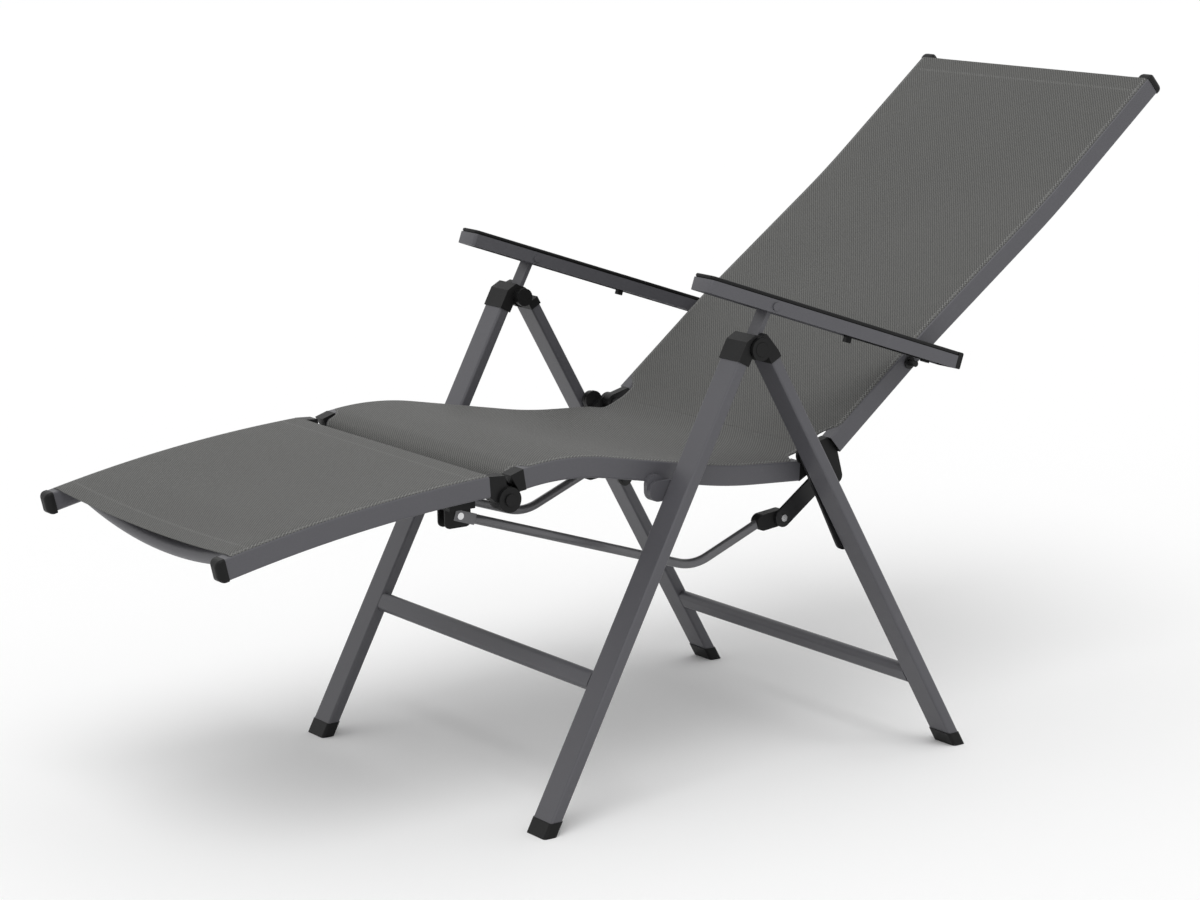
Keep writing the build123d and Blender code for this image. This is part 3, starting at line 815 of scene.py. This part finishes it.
@dataclass
class SlingSet:
    """The seat, the back and the footrest in one cloth.

    The seat's and back's cloth is one run from under the front tube to the top, parted at the
    hinge: its width steps in at the front tube and at the waist by the hinge fittings.
    """

    rails: Rails
    material: bpy.types.Material
    full: float = 0.2338
    waist: float = 0.2085
    wrap: float = 0.2135
    front_taper: Span = (-0.3055, -0.2965)
    waist_in: Span = (0.094, 0.112)
    waist_out: Span = (0.158, 0.178)
    corner_trim: float = 0.0006
    corner_taper: Span = (-0.36, -0.35)
    tube: Place = (-0.3098, 0.430)
    tube_wrap: float = 0.0112
    wrap_start: float = -70.0
    wrap_step: float = 10.0
    wrap_points: int = 19
    wrap_gap: float = 0.012
    roll_length: float = 0.048
    bridge_pull: float = 0.36
    bridge_steps: int = 24
    seat_leaves: float = 0.094
    back_starts: float = 0.172
    seam_y: float = 0.1362
    top_y: float = 0.7
    footrest_span: Span = (-0.7052, -0.3492)
    seat_sag: float = 0.007
    back_sag: float = 0.007
    footrest_sag: float = 0.004
    footrest_hem_dip: float = 0.0075
    lap: float = 0.004
    blend_reach: float = 0.034

    def bridge(self, before: Sequence[Vector], after: Sequence[Vector]) -> List[Vector]:
        """Smooth cloth between two runs.

        Args:
            before: The first run.
            after: The second run.

        Returns:
            Places between them.
        """
        start, stop = before[-1], after[0]
        reach = (stop - start).length * self.bridge_pull
        a = start + (before[-1] - before[-2]).normalized() * reach
        b = stop - (after[1] - after[0]).normalized() * reach
        places = []
        for i in range(1, self.bridge_steps):
            t = i / self.bridge_steps
            near = start * (1 - t) ** 3 + a * (3 * t * (1 - t) ** 2)
            places.append(near + b * (3 * t * t * (1 - t)) + stop * t ** 3)
        return places

    def front_roll(self) -> List[Vector]:
        """Cloth that comes from under the front tube and over it.

        Returns:
            Places round the tube, from below to the top.
        """
        centre = Vector((0, *self.tube))
        places = []
        for i in range(self.wrap_points):
            turn = math.radians(self.wrap_start - i * self.wrap_step)
            places.append(centre + Vector((0, math.cos(turn), math.sin(turn))) * self.tube_wrap)
        return places

    def seat_and_back(self) -> Route:
        """Lay the seat's and back's cloth in one line.

        Returns:
            The route, from under the front tube to the top.
        """
        roll = self.front_roll()
        seat = [p for p in self.rails.seat.raised(self.rails.lift)
                if roll[-1].y + self.wrap_gap < p.y < self.seat_leaves]
        back = [p for p in self.rails.back.raised(self.rails.lift) if p.y > self.back_starts]
        return Route(roll + self.bridge(roll, seat) + seat + self.bridge(seat, back) + back)

    def seat_half(self, y: float) -> float:
        """Half the seat's and back's cloth at a place along Y.

        Args:
            y: The place along Y.

        Returns:
            Half its width there.
        """
        front = ease(y, *self.front_taper)
        rear = ease(y, *self.waist_in) * (1 - ease(y, *self.waist_out))
        return self.full - (self.full - self.wrap) * (1 - front) - (self.full - self.waist) * rear

    def footrest_half(self, y: float) -> float:
        """Half the footrest's cloth at a place along Y."""
        return self.full - self.corner_trim * ease(y, *self.corner_taper)

    def make(self) -> None:
        """Build the three sheets and parent the footrest's sheet to the footrest's body."""
        route = self.seat_and_back()
        seam = route.mark_of(self.seam_y)
        rest = Route(self.rails.footrest.raised(self.rails.lift))
        start, stop = (rest.mark_of(y) for y in self.footrest_span)
        seat = Sling(
            "seat_sling", "seat_fabric", route, 0.0, seam + self.lap, self.seat_half,
            self.seat_sag, (False, False), ("seat_rail_left", "seat_rail_right", "seat_front_tube"),
            lapped=self.lap, rolled=self.roll_length).make(self.material)
        back = Sling(
            "back_sling", "back_fabric", route, seam, route.mark_of(self.top_y), self.seat_half,
            self.back_sag, (False, True), ("back_rail_left", "back_rail_right"),
        ).make(self.material)
        foot = Sling(
            "footrest_sling", "footrest_fabric", rest, start, stop, self.footrest_half,
            self.footrest_sag, (True, True), ("footrest_rail_left", "footrest_rail_right"),
            hem_dip=self.footrest_hem_dip).make(self.material)
        z = route.at(seam)[0].z
        below = (0.0, self.seam_y - self.blend_reach, z)
        above = (0.0, self.seam_y + self.blend_reach, z)
        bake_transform(seat)
        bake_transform(back)
        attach(foot, "footrest")


@dataclass
class Block:
    """A plate or bar in a slanting frame of its own: across, along and up."""

    name: str
    body: str
    slot: Slot
    origin: Tuple[float, float, float]
    slant: float
    across: Span
    along: Span
    up: Span
    corner: float
    arris: float
    round_front: bool
    corner_segments: int = 6
    arris_segments: int = 3
    rim_radians: float = 0.7
    sharp_angle: float = 38.0

    def carve(self) -> bmesh.types.BMesh:
        """Shape the block about the middle of its own frame.

        Returns:
            The block's mesh, with its front end and arrises rounded.
        """
        shape = bmesh.new()
        bmesh.ops.create_cube(shape, size=1.0)
        spans = [high - low for low, high in (self.across, self.along, self.up)]
        bmesh.ops.scale(shape, vec=spans, verts=shape.verts)
        if self.round_front:
            uprights = [e for e in shape.edges if e.verts[0].co.y < 0
                        and abs(e.verts[0].co.z - e.verts[1].co.z) > spans[2] / 2]
            bmesh.ops.bevel(shape, geom=uprights, offset=self.corner, profile=0.5,
                            segments=self.corner_segments, affect="EDGES", material=-1)
        rims = [e for e in shape.edges
                if len(e.link_faces) == 2 and e.calc_face_angle() > self.rim_radians]
        bmesh.ops.bevel(shape, geom=rims, offset=self.arris, profile=0.5,
                        segments=self.arris_segments, affect="EDGES", material=-1)
        return shape

    def make(self, material: bpy.types.Material) -> bpy.types.Object:
        """Build the piece.

        Args:
            material: Its finish.

        Returns:
            The piece.
        """
        shape = self.carve()
        middle = [(high + low) / 2 for low, high in (self.across, self.along, self.up)]
        bmesh.ops.translate(shape, vec=middle, verts=shape.verts)
        t = math.radians(self.slant)
        axes = Matrix(((1, 0, 0), (0, math.cos(t), math.sin(t)), (0, -math.sin(t), math.cos(t))))
        bmesh.ops.transform(shape, matrix=Matrix.Translation(self.origin) @ axes.to_4x4(),
                            verts=shape.verts)
        bmesh.ops.recalc_face_normals(shape, faces=shape.faces)
        mesh = bpy.data.meshes.new(self.name)
        shape.to_mesh(mesh)
        shape.free()
        mesh.shade_smooth()
        mesh.set_sharp_from_angle(angle=math.radians(self.sharp_angle))
        mesh.materials.append(material)
        piece = put(self.name, mesh)
        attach(piece, self.body)
        LOG.info("%s on %s", self.name, self.body)
        return piece


@dataclass
class ArmTops:
    """The pads on the arms and the painted noses in front of them."""

    materials: Dict[Slot, bpy.types.Material]
    front: Place = (-0.0698 + SHIFT, 0.6374)
    slant: float = 19.53
    centre_x: float = 0.268
    half: float = 0.02
    height: float = 0.0165
    pad: float = 0.005
    pad_corner: float = 0.007
    pad_arris: float = 0.0021
    length: float = 0.4058
    nose: float = 0.0048
    nose_lap: float = 0.0006
    nose_corner: float = 0.004
    nose_arris: float = 0.0007

    def make(self) -> None:
        """Build both sides."""
        width = (-self.half, self.half)
        for side, way in SIDES:
            origin = (way * self.centre_x, *self.front)
            top = Block(f"arm_pad_top_{side}", f"arm_{side}", Slot.ARM_PAD, origin, self.slant,
                        width, (-self.nose, self.length), (self.height, self.height + self.pad),
                        self.pad_corner, self.pad_arris, True)
            piece = top.make(self.materials[Slot.ARM_PAD])
            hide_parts(f"arm_pad_{side}")
            nose = Block(f"arm_nose_{side}", f"arm_{side}", Slot.FRAME_PAINT, origin, self.slant,
                         width, (-self.nose, self.nose_lap), (0.0, self.height),
                         self.nose_corner, self.nose_arris, True)
            nose.make(self.materials[Slot.FRAME_PAINT])


@dataclass
class RodEnds:
    """Flattened plates of the push rods over the footrest's clips."""

    materials: Dict[Slot, bpy.types.Material]
    pivot: Place = (-0.384 + SHIFT, 0.3925)
    slant: float = 18.46
    start_x: float = 0.2054
    thickness: float = 0.0009
    reach: Span = (-0.008, 0.022)
    depth: Span = (-0.007, 0.007)
    arris: float = 0.0002

    def make(self) -> None:
        """Build both sides."""
        thick = (-self.thickness / 2, self.thickness / 2)
        for side, way in SIDES:
            x = way * (self.start_x + self.thickness / 2)
            plate = Block(f"rod_end_plate_{side}", f"rod_{side}", Slot.ROD_STEEL,
                          (x, *self.pivot), self.slant, thick, self.reach, self.depth,
                          0.0, self.arris, False)
            plate.make(self.materials[Slot.ROD_STEEL])


@dataclass
class Studio:
    """Plain floor, soft light and the photograph's camera."""

    eye: Tuple[float, float, float] = (3.5072, -2.4014, 1.2666)
    azimuth: float = 56.01
    elevation: float = 11.64
    roll: float = -1.06
    lens: float = 99.91
    sensor: float = 36.0
    far: float = 400.0
    sky: float = 0.74
    sun: float = 1.15
    sun_spread: float = 38.0
    sun_way: Tuple[float, float, float] = (0.55, -0.35, 1.0)
    floor_reach: float = 90.0
    floor_gap: float = 0.0002
    floor_tone: float = 0.96

    def camera(self) -> None:
        """Make the camera and look through it."""
        az, el, turn = (math.radians(v) for v in (self.azimuth, self.elevation, self.roll))
        ahead = Vector((-math.sin(az) * math.cos(el), math.cos(az) * math.cos(el), -math.sin(el)))
        right = Vector((math.cos(az), math.sin(az), 0.0))
        up = right.cross(ahead)
        level = math.cos(turn) * right + math.sin(turn) * up
        raised = math.cos(turn) * up - math.sin(turn) * right
        data = bpy.data.cameras.new("photograph_view")
        data.lens, data.sensor_width, data.sensor_fit = self.lens, self.sensor, "HORIZONTAL"
        data.clip_end = self.far
        view = put("photograph_view", data)
        axes = Matrix((level, raised, -ahead)).transposed().to_4x4()
        view.matrix_world = Matrix.Translation(self.eye) @ axes
        bpy.context.scene.camera = view

    def floor(self) -> None:
        """Make the pale floor."""
        shape = bmesh.new()
        bmesh.ops.create_grid(shape, x_segments=1, y_segments=1, size=self.floor_reach)
        bmesh.ops.translate(shape, vec=(0.0, 0.0, -self.floor_gap), verts=shape.verts)
        mesh = bpy.data.meshes.new("studio_floor")
        shape.to_mesh(mesh)
        shape.free()
        piece = put("studio_floor", mesh)
        coat = Coating("studio_floor")
        coat.set({"Base Color": (self.floor_tone,) * 3, "Roughness": 1.0, "Specular IOR Level": 0.0})
        mesh.materials.append(coat.material)

    def light(self) -> None:
        """Make the soft sky and one broad lamp, and keep the backdrop white."""
        world = bpy.data.worlds.new("studio_sky")
        world.use_nodes = True
        bpy.context.scene.world = world
        graph = Graph(world.node_tree)
        seen, glossy, through = (
            graph.add("ShaderNodeLightPath", {}, {}, f"Is {kind} Ray")
            for kind in ("Camera", "Glossy", "Transmission"))
        sockets = {"Value": seen | glossy | through, "To Min": self.sky, "To Max": 1.0}
        level = graph.add("ShaderNodeMapRange", {}, sockets)
        white = (1.0, 1.0, 1.0)
        sky = graph.add("ShaderNodeBackground", {}, {"Color": white, "Strength": level})
        graph.node("ShaderNodeOutputWorld", {}, {"Surface": sky})
        lamp = bpy.data.lights.new("broad_lamp", "SUN")
        lamp.energy, lamp.angle = self.sun, math.radians(self.sun_spread)
        way = Vector(self.sun_way).normalized()
        put("broad_lamp", lamp).rotation_euler = way.to_track_quat("Z", "Y").to_euler()

    def build(self) -> None:
        """Set the whole studio and the plain view transform."""
        self.camera()
        self.floor()
        self.light()
        bpy.context.scene.view_settings.view_transform = "Standard"


def main() -> None:
    """Build the dressed chair and its studio in order."""
    logging.basicConfig(level=logging.INFO, format="%(message)s")
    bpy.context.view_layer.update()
    Studio().build()
    dresser = Dresser()
    dresser.dress()
    SlingSet(Rails(), dresser.materials[Slot.SLING_FABRIC]).make()
    ArmTops(dresser.materials).make()
    RodEnds(dresser.materials).make()
    bpy.context.view_layer.update()


if __name__ == "__main__":
    main()
